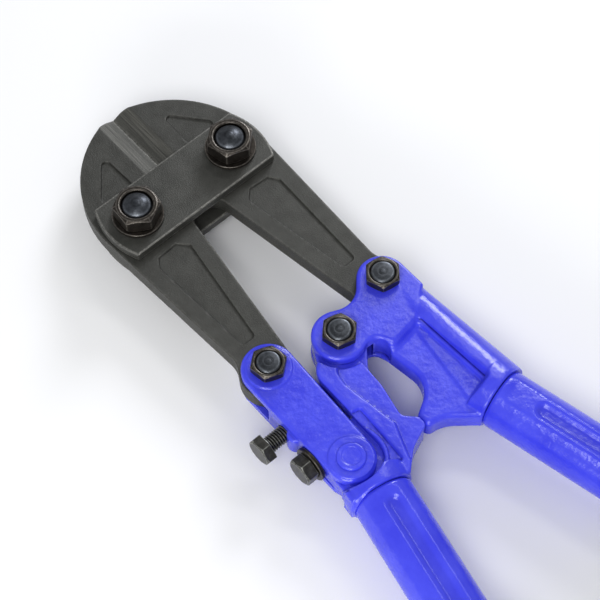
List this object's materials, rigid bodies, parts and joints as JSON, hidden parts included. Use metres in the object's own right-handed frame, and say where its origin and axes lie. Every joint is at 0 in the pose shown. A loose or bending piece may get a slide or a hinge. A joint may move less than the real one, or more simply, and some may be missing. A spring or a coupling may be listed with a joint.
{
  "type": "bolt cutter",
  "caption": "Compound-action hand bolt cutter with blunt forged jaws, link plates, toggle-linked handle castings, adjusting screw and tubular handles with sleeves.",
  "frame": {"origin": "centre of the bounding box at the level the tool lies on", "axes": "+Y toward the jaw tips, +X to the right handle seen from the nut side, +Z out of the nut side, with the tool lying flat"},
  "size_m": [0.1548, 0.3502, 0.0334],
  "materials": {
    "jaw_black_oxide": "black oxide on forged steel, satin",
    "fastener_dark": "blackened steel with worn edges",
    "bolt_steel": "blackened turned steel, semi-gloss",
    "blue_paint": "gloss blue enamel",
    "black_vinyl": "black vinyl, matte"
  },
  "bodies": {
    "link_plates": {"front_link_plate": "jaw_black_oxide", "rear_link_plate": "jaw_black_oxide", "right_jaw_bolt": "bolt_steel", "left_jaw_bolt": "bolt_steel", "right_jaw_nut": "fastener_dark", "left_jaw_nut": "fastener_dark", "right_jaw_washer": "fastener_dark", "left_jaw_washer": "fastener_dark"},
    "right_jaw_body": {"right_jaw": "jaw_black_oxide"},
    "left_jaw_body": {"left_jaw": "jaw_black_oxide"},
    "right_handle": {"right_handle_casting": "blue_paint", "right_link_bolt": "bolt_steel", "right_link_nut": "fastener_dark", "centre_bolt": "bolt_steel", "centre_nut": "fastener_dark", "right_handle_tube": "blue_paint", "right_grip": "black_vinyl"},
    "arm": {"adjusting_arm": "blue_paint", "left_link_bolt": "bolt_steel", "left_link_nut": "fastener_dark", "arm_rivet": "blue_paint"},
    "left_handle": {"left_handle_casting": "blue_paint", "left_handle_tube": "blue_paint", "left_grip": "black_vinyl", "lock_washer": "fastener_dark"},
    "adjusting_screw_body": {"adjusting_screw": "bolt_steel"},
    "lock_screw_body": {"lock_screw": "bolt_steel"}
  },
  "joints": [
    {"name": "right_handle_pivot", "type": "hinge", "parent": "right_jaw_body", "child": "right_handle", "pos_m": [0.0275, 0.0515, 0.01555], "axis": [0, 0, 1], "range_deg": [0, 42]},
    {"name": "right_jaw_pivot", "type": "hinge", "parent": "link_plates", "child": "right_jaw_body", "pos_m": [0.0225, 0.1309, 0.01555], "axis": [0, 0, 1], "range_deg": [-6.43, 0]},
    {"name": "left_jaw_pivot", "type": "hinge", "parent": "link_plates", "child": "left_jaw_body", "pos_m": [-0.0225, 0.1309, 0.01555], "axis": [0, 0, 1], "range_deg": [0, 6.43]},
    {"name": "arm_link_pivot", "type": "hinge", "parent": "left_jaw_body", "child": "arm", "pos_m": [-0.0275, 0.0515, 0.01555], "axis": [0, 0, 1], "range_deg": [-42, 0]},
    {"name": "adjustment_pivot", "type": "hinge", "parent": "arm", "child": "left_handle", "pos_m": [-0.029, 0.0062, 0.01555], "axis": [0, 0, 1], "range_deg": [-0.5, 0.5]},
    {"name": "adjusting_screw_turn", "type": "hinge", "parent": "arm", "child": "adjusting_screw_body", "pos_m": [-0.04612, 0.0313, 0.01555], "axis": [-1, 0, 0], "range_deg": [-81, 81]},
    {"name": "lock_screw_turn", "type": "hinge", "parent": "left_handle", "child": "lock_screw_body", "pos_m": [-0.03989, 0.0161, 0.01555], "axis": [-1, 0, 0], "range_deg": [0, 180]}
  ],
  "couplings": [
    {"joint": "right_jaw_pivot", "follows": "right_handle_pivot", "ratio": -0.146},
    {"joint": "left_jaw_pivot", "follows": "right_handle_pivot", "ratio": 0.146},
    {"joint": "arm_link_pivot", "follows": "right_handle_pivot", "ratio": -1},
    {"joint": "adjusting_screw_turn", "follows": "adjustment_pivot", "ratio": 157.71}
  ]
}
